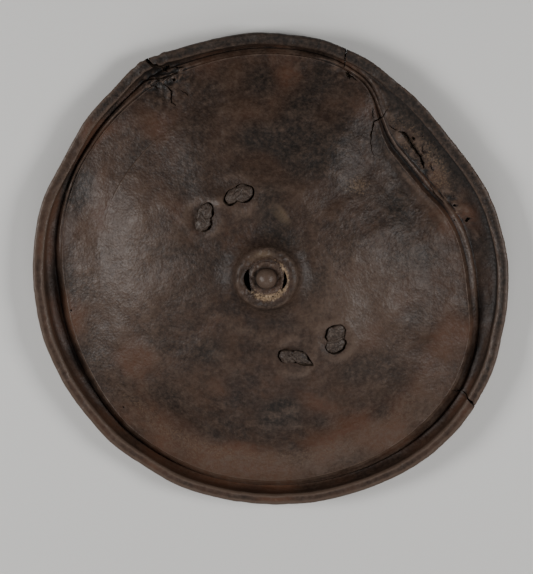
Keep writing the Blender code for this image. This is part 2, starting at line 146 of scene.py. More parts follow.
def hideSection():
    # the hide's section from the knob's top, out along the front, over the cut edge and back inside
    h = hide
    brim, channel, mound = h["brimRadius"], h["channelRadius"], h["moundRadius"]
    thickness, rimHeight = h["thickness"], h["rimHeight"]
    turn = np.linspace(0, np.pi / 2, 10)[1:]
    knob = np.stack([h["knobRadius"] * np.sin(turn), h["bossHeight"] - h["knobRadius"] * (1 - np.cos(turn))], 1)
    crest, brow, slope = (share * mound for share in h["moundShares"])
    foot = mound + h["moundFoot"]
    boss = smoothLine([
        (h["knobRadius"] + 0.0006, h["discHeight"] - 0.0004),
        (h["discRadius"], h["discHeight"]),
        (h["grooveRadius"], h["grooveHeight"]),
        ((h["grooveRadius"] + crest) / 2, (h["grooveHeight"] + 2 * h["moundHeight"]) / 3),
        (crest, h["moundHeight"]),
        (brow, h["moundHeight"] - 0.3 * thickness),
        (slope, 0.35 * h["moundHeight"] + 0.65 * domeHeight(slope)),
        (mound, domeHeight(mound) + 0.0014),
        (foot, domeHeight(foot)),
    ], 4)
    spans = np.linspace(foot, h["shoulderRadius"], 36)[1:-1]
    spans = np.union1d(spans, h["shoulderRadius"] - np.array([0.0032, 0.0026, 0.0022, 0.0018, 0.0012]))
    dome = np.stack([spans, domeHeight(spans)], 1)
    floor = thickness - h["wornFlat"]
    rimInner = h["edgeRadius"] - h["edgeBand"]
    flange = np.linspace(h["shoulderRadius"], brim, 23)[:-1]
    flange = np.stack([flange, np.interp(flange, (h["shoulderRadius"], brim),
                                         (h["shoulderHeight"], h["brimHeight"]))], 1)
    rim = smoothLine([
        tuple(flange[-1]),
        (brim, h["brimHeight"]),
        ((brim + channel) / 2 + 0.25 * thickness,
         floor + 0.35 * (h["brimHeight"] - floor)),
        (channel, floor),
        ((channel + rimInner) / 2 + 0.3 * thickness, floor + 0.3 * (rimHeight - floor)),
        (rimInner, rimHeight - 0.2 * h["edgeBand"]),
    ], 8)
    across = np.array([0.94, 0.84, 0.64, 0.42, 0.22, 0.09])
    lift = np.array([-0.0008, 0.0, -0.0005, -0.0005, 0.0, -0.0007])
    cutEdge = np.stack([h["edgeRadius"] - across * h["edgeBand"], rimHeight + lift], 1)
    outer = np.vstack([dome, flange[:-1], rim])
    along = np.gradient(outer, axis=0)
    along /= np.linalg.norm(along, axis=1, keepdims=True)
    upright = np.clip((outer[:, 0] - channel) / (rimInner - channel), 0, 1)
    thick = thickness + (h["edgeBand"] - thickness) * upright
    under = outer + np.stack([along[:, 1], -along[:, 0]], 1) * thick[:, None]
    # where the offset line would cross itself under the brim's corner, its loop is left out
    gaps = np.linalg.norm(under[:, None, :] - outer[None, :, :], axis=2).min(1)
    under = under[gaps > thick - 0.0004][::-1][::2]
    roof = h["grooveHeight"] - thickness
    backBoss = smoothLine([
        (mound, domeHeight(mound) - thickness),
        (crest, roof - 0.25 * thickness),
        (0.3 * crest, roof),
    ], 4)
    line = np.vstack([knob, boss, outer, cutEdge, under, backBoss])
    frontCount = len(knob) + len(boss) + len(outer)
    front = np.zeros(len(line))
    front[:frontCount] = 1
    front[frontCount:frontCount + len(cutEdge)] = 0.5
    return line, front, h["bossHeight"], roof


def gridNormals(points):  # the cross product of the steps round and along the grid
    along = np.gradient(points, axis=0)
    around = np.roll(points, -1, axis=1) - np.roll(points, 1, axis=1)
    normal = np.cross(around, along)
    return normal / np.maximum(np.linalg.norm(normal, axis=2, keepdims=True), 1e-12)


def ringQuads(rings, around, start=0):  # the corner numbers of a grid of rings, and the quads between them
    number = start + np.arange(rings * around).reshape(rings, around)
    after = np.roll(number, -1, axis=1)
    return number, np.stack([number[:-1], after[:-1], after[1:], number[1:]], 2).reshape(-1, 4).tolist()


def turnedMesh(name, points, top, bottom, masks=None):
    # a closed mesh from rings of points: quads between the rings, and a fan to a pole at each end
    verts = np.vstack([[top], points.reshape(-1, 3), [bottom]])
    number, quads = ringQuads(*points.shape[:2], start=1)
    first, last = number[0], number[-1]
    pole = np.zeros_like(first)
    fans = np.vstack([np.stack([pole, np.roll(first, -1), first], 1),
                      np.stack([pole + len(verts) - 1, last, np.roll(last, -1)], 1)])
    mesh = bpy.data.meshes.new(name)
    mesh.from_pydata(verts.tolist(), [], quads + fans.tolist())
    for label, values in (masks or {}).items():
        layer = mesh.attributes.new(label, "FLOAT", "POINT")
        flat = np.concatenate([[values[0].mean()], values.reshape(-1), [values[-1].mean()]])
        layer.data.foreach_set("value", flat.astype(np.float32))
    mesh.shade_smooth()
    return mesh


def put(name, mesh, *materials):
    piece = bpy.data.objects.new(name, mesh)
    scene.collection.objects.link(piece)
    for material in materials:
        mesh.materials.append(material)
    return piece


def combine(piece, other, operation, materials):  # an exact Boolean, baked into the mesh at once
    step = piece.modifiers.new(other.name, "BOOLEAN")
    step.operation = operation
    step.solver = "EXACT"
    step.material_mode = materials
    step.object = other
    bpy.context.view_layer.update()
    graph = bpy.context.evaluated_depsgraph_get()
    mesh = bpy.data.meshes.new_from_object(piece.evaluated_get(graph), preserve_all_data_layers=True,
                                           depsgraph=graph)
    piece.modifiers.clear()
    old, piece.data = piece.data, mesh
    bpy.data.meshes.remove(old)
    bpy.data.objects.remove(other)


# Materials: every pattern reads Object coordinates or the piece's own masks.

def plug(tree, socket, value):
    if isinstance(value, bpy.types.NodeSocket):
        tree.links.new(value, socket)
    else:
        socket.default_value = value


def node(tree, kind, settings=None, **sockets):
    # adds a node after the last one, sets its options, then fills or links its inputs by name
    made = tree.nodes.new(kind)
    row, column = divmod(len(tree.nodes), 8)
    made.location = (220 * column - 900, 400 - 300 * row)
    for key, value in (settings or {}).items():
        setattr(made, key, value)
    for label, value in sockets.items():
        plug(tree, made.inputs[label.replace("_", " ")], value)
    return made


def maths(tree, operation, *values):
    made = node(tree, "ShaderNodeMath", {"operation": operation})
    for socket, value in zip(made.inputs, values):
        plug(tree, socket, value)
    return made.outputs[0]


def noise(tree, place, scale, detail, roughness, distortion=0.0):
    return node(tree, "ShaderNodeTexNoise", Vector=place, Scale=scale, Detail=detail, Roughness=roughness,
                Distortion=distortion).outputs[0]


def mixColour(tree, share, a, b):
    made = node(tree, "ShaderNodeMix", {"data_type": "RGBA", "clamp_factor": True})
    for number, value in ((0, share), (6, a), (7, b)):
        plug(tree, made.inputs[number], value)
    return made.outputs[2]


def rampMask(tree, value, low, high):  # 0 below low, 1 above high
    return node(tree, "ShaderNodeMapRange", {"interpolation_type": "SMOOTHSTEP"},
                Value=value, From_Min=low, From_Max=high).outputs[0]


def makeGroup(name, inputs, outputs):
    # a group's sockets: no value makes a vector, a row of four a colour, and a number a float
    group = bpy.data.node_groups.new(name, "ShaderNodeTree")
    for label, value in inputs.items():
        kind = "Vector" if value is None else "Color" if isinstance(value, tuple) else "Float"
        made = group.interface.new_socket(label, in_out="INPUT", socket_type="NodeSocket" + kind)
        if value is not None:
            made.default_value = value
    for label in outputs:
        kind = "Color" if label == "Colour" else "Float"
        group.interface.new_socket(label, in_out="OUTPUT", socket_type="NodeSocket" + kind)
    return group, node(group, "NodeGroupInput").outputs, node(group, "NodeGroupOutput").inputs


def mottleGroup():
    # three browns over broad, middling and small blotches
    group, given, out = makeGroup("hideMottle", {
        "Vector": None, "Broad": 9.0, "Small": 70.0, "Fine": 620.0, "Dark": (0.02, 0.015, 0.012, 1),
        "Middle": (0.05, 0.035, 0.028, 1), "Light": (0.09, 0.06, 0.045, 1),
    }, ("Colour", "Blotch"))
    broad = noise(group, given["Vector"], given["Broad"], 3.0, 0.55, distortion=0.6)
    small = noise(group, given["Vector"], given["Small"], 5.0, 0.65)
    fine = noise(group, given["Vector"], given["Fine"], 4.0, 0.7)
    spots = maths(group, "MULTIPLY", rampMask(group, small, 0.38, 0.68), 0.55)
    grains = maths(group, "MULTIPLY", rampMask(group, fine, 0.3, 0.75), 0.34)
    colour = mixColour(group, rampMask(group, broad, 0.36, 0.64), given["Dark"], given["Middle"])
    colour = mixColour(group, spots, colour, given["Light"])
    plug(group, out["Colour"], mixColour(group, grains, colour, given["Dark"]))
    plug(group, out["Blotch"], small)
    return group


def grainGroup():
    # leather pebbles, pores, lumps and long scuffs, as one height
    group, given, out = makeGroup("hideGrain", {"Vector": None, "Pebble": 380.0, "Scuff": 0.5}, ("Height",))
    pebble = node(group, "ShaderNodeTexVoronoi", {"feature": "SMOOTH_F1"}, Vector=given["Vector"],
                  Scale=given["Pebble"], Smoothness=0.6, Randomness=1.0).outputs[0]
    pore = noise(group, given["Vector"], 900.0, 3.0, 0.6)
    lump = noise(group, given["Vector"], 130.0, 5.0, 0.62)
    streak = node(group, "ShaderNodeMapping", Vector=given["Vector"], Scale=(45.0, 900.0, 60.0)).outputs[0]
    scratch = rampMask(group, noise(group, streak, 1.0, 2.0, 0.5, distortion=0.4), 0.6, 0.74)
    height = maths(group, "MULTIPLY", pebble, 0.5)
    height = maths(group, "MULTIPLY_ADD", pore, 0.22, height)
    height = maths(group, "MULTIPLY_ADD", lump, 1.1, height)
    scratch = maths(group, "MULTIPLY", scratch, given["Scuff"])
    plug(group, out["Height"], maths(group, "MULTIPLY_ADD", scratch, -0.5, height))
    return group


def wearSheenShadeGroup():
    # worn places and painted sheen grow lighter, painted shade darkens sunken places, both broken up by noise
    group, given, out = makeGroup("wearSheenAndShade", {
        "Vector": None, "Colour": (0.05, 0.035, 0.03, 1), "Rub": 0.0, "Pit": 0.0,
        "Rubbed colour": (0.16, 0.13, 0.11, 1), "Shade colour": (0.01, 0.008, 0.007, 1),
    }, ("Colour", "Rubbed"))
    uneven = noise(group, given["Vector"], 240.0, 5.0, 0.7)
    wornAndSheen = maths(group, "ADD", given["Rub"], maths(group, "MULTIPLY_ADD", uneven, 0.8, 0.5))
    wornAndSheen = rampMask(group, wornAndSheen, 0.75, 1.35)
    # painted shade: the shade mask darkens the colour towards the shade colour
    shaded = rampMask(group, maths(group, "MULTIPLY_ADD", uneven, 0.6, given["Pit"]), 0.55, 1.3)
    colour = mixColour(group, wornAndSheen, given["Colour"], given["Rubbed colour"])
    plug(group, out["Colour"], mixColour(group, shaded, colour, given["Shade colour"]))
    plug(group, out["Rubbed"], wornAndSheen)
    return group


mottle = mottleGroup()
grain = grainGroup()
wearSheenShade = wearSheenShadeGroup()

# the worn-and-sheen colour lightens both real wear and painted sheen
finishes = {
    "oldHide": dict(dark=(0.0128, 0.0074, 0.0054), middle=(0.0295, 0.0153, 0.0095), light=(0.058, 0.0295, 0.017),
                    wornAndSheen=(0.078, 0.052, 0.038), roughness=0.52, bump=0.00055, scuff=0.05, shine=0.21),
    "tornHide": dict(dark=(0.012, 0.008, 0.006), middle=(0.028, 0.018, 0.012), light=(0.06, 0.04, 0.026),
                     wornAndSheen=(0.09, 0.065, 0.045), roughness=0.85, bump=0.0009, scuff=0.9, shine=0.1),
    "thongHide": dict(dark=(0.012, 0.0076, 0.0056), middle=(0.025, 0.0148, 0.0098), light=(0.047, 0.028, 0.0185),
                      wornAndSheen=(0.07, 0.05, 0.038), roughness=0.6, bump=0.0006, scuff=0.4, shine=0.28),
    "sleeveHide": dict(dark=(0.013, 0.008, 0.006), middle=(0.028, 0.017, 0.012), light=(0.048, 0.03, 0.021),
                       wornAndSheen=(0.07, 0.05, 0.038), roughness=0.58, bump=0.0005, scuff=0.4, shine=0.3),
}
# each mask's colour, whether its patches break up finely, and the mask values where it starts and is full
tints = {
    # warm tone, partly painted light
    "warmAndLit": ((0.064, 0.0275, 0.015), False, 0.5, 1.25),
    "tan": ((0.095, 0.064, 0.038), False, 0.5, 1.25),
    # mostly painted shade, with some real stains
    "shadeAndStain": ((0.008, 0.006, 0.0049), False, 0.35, 1.45),
    "raw": ((0.3, 0.21, 0.13), True, 1.6, 2.4),
    "fleck": ((0.115, 0.075, 0.045), True, 1.6, 2.4),
}


def hideMaterial(name, masks):
    look = finishes[name]
    material = bpy.data.materials.new(name)
    material.use_nodes = True
    tree = material.node_tree
    shader = tree.nodes["Principled BSDF"]
    shader.inputs["Specular IOR Level"].default_value = look["shine"]
    place = node(tree, "ShaderNodeTexCoord").outputs["Object"]
    blotches = node(tree, "ShaderNodeGroup", {"node_tree": mottle}, Vector=place, Dark=(*look["dark"], 1),
                    Middle=(*look["middle"], 1), Light=(*look["light"], 1)).outputs
    pebbles = node(tree, "ShaderNodeGroup", {"node_tree": grain}, Vector=place, Scuff=look["scuff"]).outputs
    read = {label: node(tree, "ShaderNodeAttribute", {"attribute_name": label}).outputs["Fac"] for label in masks}
    specks = noise(tree, place, 520.0, 3.0, 0.6)
    colour = blotches["Colour"]
    for label, (tint, fine, low, high) in tints.items():
        if label in read:
            pattern, share = (specks, 2.2) if fine else (blotches["Blotch"], 0.7)
            patch = rampMask(tree, maths(tree, "MULTIPLY_ADD", pattern, share, read[label]), low, high)
            colour = mixColour(tree, patch, colour, (*tint, 1))
    wornSheenShade = node(tree, "ShaderNodeGroup", {"node_tree": wearSheenShade}, Vector=place, Colour=colour, Rub=read.get("wearAndSheen", 0.0),
                Pit=read.get("paintedShade", 0.0), Rubbed_colour=(*look["wornAndSheen"], 1)).outputs
    plug(tree, shader.inputs["Base Color"], wornSheenShade["Colour"])
    rough = maths(tree, "MULTIPLY_ADD", blotches["Blotch"], 0.22, look["roughness"] - 0.11)
    plug(tree, shader.inputs["Roughness"], maths(tree, "MULTIPLY_ADD", wornSheenShade["Rubbed"], -0.12, rough))
    bump = node(tree, "ShaderNodeBump", Strength=1.0, Distance=look["bump"], Height=pebbles["Height"])
    plug(tree, shader.inputs["Normal"], bump.outputs[0])
    return material


oldHide = hideMaterial("oldHide", ("wearAndSheen", "paintedShade", *tints))
tornHide = hideMaterial("tornHide", ())
thongHide = hideMaterial("thongHide", ("wearAndSheen", "paintedShade"))
sleeveHide = hideMaterial("sleeveHide", ("wearAndSheen", "paintedShade"))
print("materials made")

# The shell: the turned section, moved to its real outline and dent, then given its relief.

def clockRow(count):
    # clock angles round the circle, closer together across the dent and the torn patch
    fine = np.linspace(0, 360, 3601)
    density = 1 + 0.9 * clockBell(fine, 50, 32) + 1.4 * clockBell(fine, 331, 10)
    whole = np.concatenate([[0], np.cumsum((density[1:] + density[:-1]) / 2)])
    return np.interp(np.arange(count) / count * whole[-1], whole, fine)


def realPlace(section, clock):
    # the turned section, moved in steps to the real edge and the pushed-in brim, and lifted in the dent's trough
    h = hide
    edge, brim, channel, rimHeight = h["edgeRadius"], h["brimRadius"], h["channelRadius"], h["rimHeight"]
    radius, height = section[:, 0], section[:, 1:]
    move = edgeRadius(clock) - edge
    push = alongEdge("pushes", clock)
    lip = brim - 1.5 * h["thickness"]
    drop = channel - 0.5 * h["thickness"]
    rimInner = edge - h["edgeBand"]
    turned = np.array([0, 0.5 * h["shoulderRadius"], lip, brim, drop, channel, rimInner, edge])
    pull = 0.25 * move - push
    moves = np.stack([0 * push, 0 * push, pull, pull, pull, 0.8 * move - h["pushFollowed"] * push, move, move])
    real = turned[:, None] + moves
    step = np.clip(np.searchsorted(turned, radius, side="right") - 1, 0, len(turned) - 2)
    share = ((radius - turned[step]) / (turned[step + 1] - turned[step]))[:, None]
    moved = real[step] * (1 - share) + real[step + 1] * share
    outward = np.clip((radius[:, None] - channel) / (edge - channel), 0, 1)
    wave = h["rimWave"] * np.sin(3 * np.radians(clock)) * np.clip(height / rimHeight, 0, 1) * outward
    sag = softStep(radius, h["sagStart"], brim)
    sag *= np.clip((channel - radius) / (channel - brim), 0, 1)
    sag = sag[:, None] * alongEdge("sags", clock)
    trough = (moved - real[3]) / (real[6] - real[3])
    below = np.clip((rimHeight - height) / (rimHeight - h["thickness"]), 0, 1)
    rise = alongEdge("rises", clock) * softStep(trough, 0, h["riseStarts"]) * below
    return moved, height + wave + rise - sag


line, frontRow, bossTop, roofHeight = hideSection()
clocks = clockRow(hide["around"])
reach, level = realPlace(line, clocks)
turnRow = np.radians(clocks)[None, :]
plain = np.stack([reach * np.sin(turnRow), reach * np.cos(turnRow), level], 2)
front = frontRow[:, None] * np.ones_like(reach)
clockGrid = clocks[None, :] * np.ones_like(reach)
x, y, z = plain[..., 0], plain[..., 1], plain[..., 2]

# the knots' lobes: x, y, turn, half length, half width, rise in millimetres, the pull of the tail, and the way
# and width in which the dark gap beside the lobe grows; the third lobe lies over the other two
knots = {
    "upperA": ((-65.8, 65.6, 62, 10.6, 7.8, 3.6, 0.2, 1.6, 0.2),
               (-67.6, 54.6, 38, 9.0, 7.6, 4.0, 0.15, 0.9, -1.3), (-67.0, 60.4, 118, 8.2, 3.0, 5.2, 0.35)),
    "upperB": ((-25.6, 86.6, 16, 10.4, 9.2, 4.0, 0.1, 1.5, -0.6),
               (-36.8, 83.8, 58, 9.4, 6.6, 3.4, 0.35, -0.5, -1.8), (-30.6, 86.0, 48, 9.0, 3.2, 5.2, 0.3)),
    "lowerB": ((72.0, -61.4, 52, 10.8, 9.2, 4.0, 0.15, -1.5, 0.4),
               (71.2, -73.6, 24, 10.4, 7.4, 4.0, 0.2, 1.5, -0.9), (71.4, -67.6, 20, 9.0, 3.2, 5.2, 0.3)),
    "lowerA": ((21.6, -86.0, -14, 9.6, 7.2, 4.0, 0.1, -1.2, 0.3),
               (35.2, -87.2, -30, 11.6, 6.8, 3.6, 0.6, 1.2, -1.0), (28.0, -86.2, -52, 7.4, 3.0, 4.9, 0.3)),
}
pastBrim = reach - (hide["brimRadius"] - alongEdge("pushes", clockGrid))


def near(clock, spread):  # a bell round one clock angle
    return clockBell(clockGrid, clock, spread)


def arc(clock, spread, middle, width, along=reach):  # a bell along part of a ring
    return near(clock, spread) * bell(along, middle, width)


def spot(px, wide, py, tall):  # a bell over one place
    return bell(x, px, wide) * bell(y, py, tall)


def band(start, full, fade, end):  # a ring with soft sides
    return softStep(reach, start, full) * (1 - softStep(reach, fade, end))


def noiseSum(px, py, *rows):  # several noises, each with its height, size and seed
    return sum(height * softNoise(px, py, size, seed) for height, size, seed in rows)


def tornStrip():  # distances along and across the loose layer of hide at the upper left, with wavy sides
    along, across = (x + 0.109) * 0.96 + (y - 0.2035) * 0.27, (y - 0.2035) * 0.96 - (x + 0.109) * 0.27
    return along, across + 0.0018 * softNoise(along, across * 0.3, 0.01, 34)


def frontRelief():
    # the sum of every swelling, ridge, step and furrow of the front, in metres, straight up
    r, turn = reach, np.radians(clockGrid)
    rise = noiseSum(x, y, (0.0008, 0.12, 3), (0.00045, 0.05, 5), (0.00014, 0.02, 8), (0.00006, 0.009, 11))
    rise *= 1 - 0.7 * bell(r, 0, 0.02)
    around = np.cos(turnRow) * 0.02, np.sin(turnRow) * 0.02
    mound = 0.0007 * softNoise(*around, 0.022, 14) + 0.0004 * softNoise(x, y, 0.01, 15) - 0.0006
    rise += bell(r, 0.029, 0.006) * mound
    rise += 0.0012 * arc(165, 60, 0.064, 0.011) - 0.002 * arc(186, 42, 0.05, 0.007)  # the furrow under the boss
    rise += 0.0004 * bell(r, 0.0225, 0.003) * softNoise(*around, 0.016, 12)
    rise += 0.00025 * bell(r, 0.0145, 0.003) * softNoise(x, y, 0.007, 13)  # the uneven disc round the knob
    rise -= 0.0006 * near(298, 26) * band(0.1835, 0.185, 0.186, 0.215)
    rise -= 0.0008 * arc(298, 26, 0.1838, 0.0006)  # the line pressed in at the shoulder
    rise -= 0.0021 * arc(31, 10, 0.0005, 0.0045, pastBrim)  # hardly a step where the dent begins
    rise += 0.0012 * arc(31, 9, 0.0085, 0.0045, pastBrim)
    rise += 0.002 * arc(58, 17, -0.006, 0.005, pastBrim)  # the crease that runs along the dent
    rise -= 0.001 * arc(58, 17, -0.017, 0.005, pastBrim)
    trough = near(55, 24) * softStep(pastBrim, 0.004, 0.012) * (1 - softStep(r, 0.222, 0.236))
    rise += trough * (0.0005 * softNoise(r * 3.0, turn * 0.2, 0.02, 21)
                      + noiseSum(x, y, (0.0004, 0.009, 22), (0.0008, 0.03, 23)))
    ragged = near(331, 6) * softStep(r, 0.2, 0.222)  # the torn patch at the upper left
    rise += ragged * (noiseSum(x, y, (0.0006, 0.011, 31), (0.0006, 0.023, 32)) - 0.0006)
    along, across = tornStrip()
    strip = bell(along, 0, 0.021) * softStep(across, -0.0056, -0.0042) * (1 - softStep(across, 0.0034, 0.0048))
    rise += strip * (0.0018 + 0.0006 * softNoise(along, across * 6, 0.012, 35))
    rise += near(21, 4) * softStep(r, 0.21, 0.225) * (0.0006 * softNoise(x, y, 0.012, 33) - 0.0004)
    for lobes in knots.values():  # the hide is drawn up round each knot
        cx, cy = np.mean([lobe[:2] for lobe in lobes], axis=0) / 1000
        away = np.hypot(x - cx, y - cy)
        rise += 0.0012 * bell(away, 0.02, 0.006) - 0.0008 * bell(away, 0.0, 0.012)
    rise += 0.0018 * spot(-0.048, 0.014, 0.076, 0.01)  # the pinched fold between the upper knots
    rise -= 0.0016 * spot(-0.052, 0.01, 0.092, 0.009)
    fibres = bell(r, 0.0205, 0.004) * (0.35 + 0.65 * near(165, 70))
    rise += fibres * (0.0004 * softNoise(r * 1.5, turn * 0.05, 0.006, 41)
                      + 0.00025 * softNoise(x, y, 0.003, 42))
    return rise


def edgeShift():
    # the cut edge's hand-made unevenness: one move outward and one up for each clock angle
    turn = np.radians(clocks)
    ex, ey = hide["edgeRadius"] * np.sin(turn), hide["edgeRadius"] * np.cos(turn)
    broken = clockBell(clocks, 331, 5)
    outward = noiseSum(ex, ey, (0.0004, 0.08, 51), (0.0001, 0.024, 52), (0.00007, 0.008, 53))
    outward += 0.0009 * broken * softNoise(ex, ey, 0.012, 54)
    upward = noiseSum(ex, ey, (0.0006, 0.06, 55), (0.00025, 0.014, 56)) - 0.0008 * broken
    share = softStep(line[:, 0], 0.236, 0.243)[:, None]
    return share * outward, share * softStep(line[:, 1], 0.012, 0.028)[:, None] * upward


# the front and back are moved straight up or down, so that no fold can cross another
backWork = (1 - front) * noiseSum(x, y, (0.0005, 0.06, 61), (0.0002, 0.018, 62))
backWork *= softStep(z, 0.004, 0.012) * (1 - softStep(line[:, :1], 0.218, 0.228))
fading = 1 - softStep(line[:, :1], 0.2375, 0.2402)
shaped = plain.copy()
shaped[..., 2] += np.where(front == 1, frontRelief() * fading, backWork)
outward, upward = edgeShift()
shaped += np.stack([outward * np.sin(turnRow), outward * np.cos(turnRow), upward], 2)
shaped[..., 2] = np.maximum(shaped[..., 2], 0)


def shellMasks():
    # where the hide is worn or lit by painted sheen, darkened by painted shade, warm or painted lighter, tan, darkened
    # by painted shade or stains, or raw, from its own curvature and from named places
    r = reach
    ahead = (np.roll(shaped, -2, axis=1) + np.roll(shaped, 2, axis=1)) / 2
    inner = np.concatenate([shaped[:1], shaped[:1], shaped[:-2]])
    outer = np.concatenate([shaped[2:], shaped[-1:], shaped[-1:]])
    size = np.linalg.norm(outer - inner, axis=2) + 0.002
    out = ((shaped - (ahead + inner + outer) / 3) * gridNormals(shaped)).sum(2) / size
    nearRim = softStep(line[:, 0], 0.2385, 0.2415)[:, None]
    lowRing = band(0.205, 0.213, 0.234, 0.24) * front
    flatShare = np.clip(near(302, 24) + near(30, 12), 0, 1)  # brim and channel almost level
    wearAndSheen = np.clip(out * 5.5, 0, 0.8) + 0.05 * nearRim * (frontRow > 0)[:, None]
    # the knob's top is worn; the ring on the mound's slope is a painted highlight
    wearAndSheen += 0.3 * bell(r, 0, 0.008) + 0.12 * bell(r, 0.033, 0.004) * front
    # painted sheen: lighter spots on the dome's left and right sides
    wearAndSheen += 0.22 * front * (spot(-0.16, 0.06, 0.0, 0.11) + spot(0.09, 0.06, -0.03, 0.06))
    wearAndSheen *= 1 - 0.8 * near(30, 12) * band(0.17, 0.19, 0.225, 0.235)
    wearAndSheen *= 1 - nearRim * (0.25 + 0.65 * near(5, 55) + 0.3 * near(90, 40))
    wearAndSheen *= 1 - 0.8 * bell(r, 0.027, 0.009) * front
    wearAndSheen *= 1 - (0.6 * near(280, 32) + 0.4 * near(52, 24)) * lowRing
    # painted light: the bottom brim lighter
    wearAndSheen += 0.17 * near(165, 48) * band(0.188, 0.205, 0.228, 0.238) * front
    # painted shade: darker in hollows and creases, on the back, along the channel, at the torn strip's edges and in
    # the torn patch
    paintedShade = np.clip(-out * 7, 0, 1) * (1 - 0.5 * bell(r, 0, 0.019))
    paintedShade *= 1 - 0.85 * flatShare * softStep(r, 0.17, 0.2)
    paintedShade *= 1 - 0.9 * bell(r, 0.041, 0.009) * (1 - near(180, 40))
    paintedShade += 0.3 * (1 - frontRow[:, None])
    paintedShade += 0.25 * front * bell(line[:, :1], hide["channelRadius"], 0.006) * (1 - flatShare)
    paintedShade *= 1 - 0.85 * near(168, 48) * softStep(r, 0.19, 0.2) * front
    along, across = tornStrip()
    paintedShade += bell(along, 0, 0.024) * (bell(across, -0.0056, 0.001) + bell(across, 0.0049, 0.0009)) * front
    paintedShade += 0.5 * near(331, 6) * softStep(r, 0.205, 0.225) * front
    # warm reddish tone, and painted light: the bottom brim and the channel wall at the upper left painted lighter and
    # warmer
    warmAndLit = 0.62 * softStep(r, 0.165, 0.19) * (0.35 + 0.65 * near(185, 75))
    warmAndLit = (warmAndLit + 0.9 * arc(300, 26, 0.236, 0.006) + 0.5 * arc(183, 32, 0.208, 0.02)) * front
    warmAndLit += 0.35 * spot(0.217, 0.012, -0.148, 0.01) + 0.25 * softNoise(x, y, 0.09, 71)
    px, py = x - 0.0125, y - 0.066  # the long tan mark above the boss
    tan = 1.4 * bell(px * 0.75 + py * 0.66, 0, 0.006) * bell(py * 0.75 - px * 0.66, 0, 0.014)
    tan += 0.75 * arc(352, 38, 0.026, 0.005) * front
    tan += 0.12 * near(50, 26) * band(0.19, 0.2, 0.222, 0.236) * (1 + softNoise(x, y, 0.03, 72))
    # painted shade and stains: a dark stain above the boss, and the dome's top and a band above the bottom brim
    # painted darker as shade
    shadeAndStain = 0.4 * arc(350, 60, 0.085, 0.06) + 0.45 * arc(165, 50, 0.15, 0.035)
    shadeAndStain += 0.42 * arc(0, 60, 0.17, 0.05) + 0.35 * arc(45, 30, 0.165, 0.04)
    away = np.hypot(x - 0.048, y - 0.14)  # the dark round patch at the top
    shadeAndStain += 0.5 * bell(away, 0.04, 0.01) * softStep(x, 0.06, 0.02) + 0.35 * softStep(away, 0.044, 0.034)
    shadeAndStain += 0.35 * bell(r, 0.03, 0.006) * (1 - near(352, 45))
    shadeAndStain += 0.7 * near(331, 7) * softStep(r, 0.2, 0.22)
    # the rim darker at the top and upper right
    shadeAndStain = shadeAndStain * front + nearRim * (1.5 * near(5, 55) + 1.0 * near(85, 42))
    # painted shadow in the channel at the left and in the dent's trough
    shadeAndStain += (0.65 * near(283, 34) + 0.8 * near(52, 24)) * lowRing + 0.3 * softNoise(x, y, 0.07, 73)
    raw = bell(r, 0.021, 0.0036) * (0.2 + 1.3 * near(170, 62) + 0.9 * near(75, 50)) * front
    raw += 0.5 * arc(190, 60, 0.0168, 0.0015)
    raw += 0.9 * (spot(0.198, 0.003, 0.0635, 0.003) + spot(0.008, 0.003, -0.247, 0.002))
    fleck = 0.45 * near(54, 16) * softStep(pastBrim, 0.000, 0.008) * (1 - softStep(r, 0.218, 0.228))
    fleck += 0.9 * spot(0.093, 0.018, 0.094, 0.014) + 0.3 * near(332, 7) * softStep(r, 0.2, 0.22)
    fleck += 0.35 * softStep(r, 0.186, 0.2) * near(185, 60) + 0.35 * bell(r, 0.205, 0.015)
    return {"wearAndSheen": wearAndSheen, "paintedShade": paintedShade, "warmAndLit": warmAndLit, "tan": tan, "shadeAndStain": shadeAndStain, "raw": raw, "fleck": fleck * front}


masks = shellMasks()
shaped[..., :2] += centre
shellMesh = turnedMesh("hideShell", shaped, (*centre, bossTop), (*centre, roofHeight), masks)
shell = put("hide_shell_skin", shellMesh, oldHide, tornHide)
print("shell", len(shellMesh.polygons), "faces")


def surfaceHeight(px, py):  # the front's height at the nearest grid point to a place on the shield's face
    spots = shaped[frontRow == 1].reshape(-1, 3)
    return float(spots[np.argmin((spots[:, 0] - px) ** 2 + (spots[:, 1] - py) ** 2), 2])


def clockPlace(clock, radius):
    turn = math.radians(clock)
    return centre[0] + radius * math.sin(turn), centre[1] + radius * math.cos(turn)


# The cuts: blades, seats, pins and crescents, joined into sets that don't cross one another.

def ringsMesh(rings):  # the corners and faces of a closed tube of rings, with a flat cap at both ends
    rings = np.array(rings)
    number, quads = ringQuads(*rings.shape[:2])
    return rings.reshape(-1, 3), quads + [number[0][::-1].tolist(), number[-1].tolist()]


def circle(count):  # the cosines and sines of so many steps round a circle
    turn = np.linspace(0, 2 * np.pi, count, endpoint=False)
    return np.cos(turn), np.sin(turn)


def standing(normal):  # the turn that stands +Z along a surface's normal
    return Vector((0, 0, 1)).rotation_difference(Vector(normal)).to_matrix()


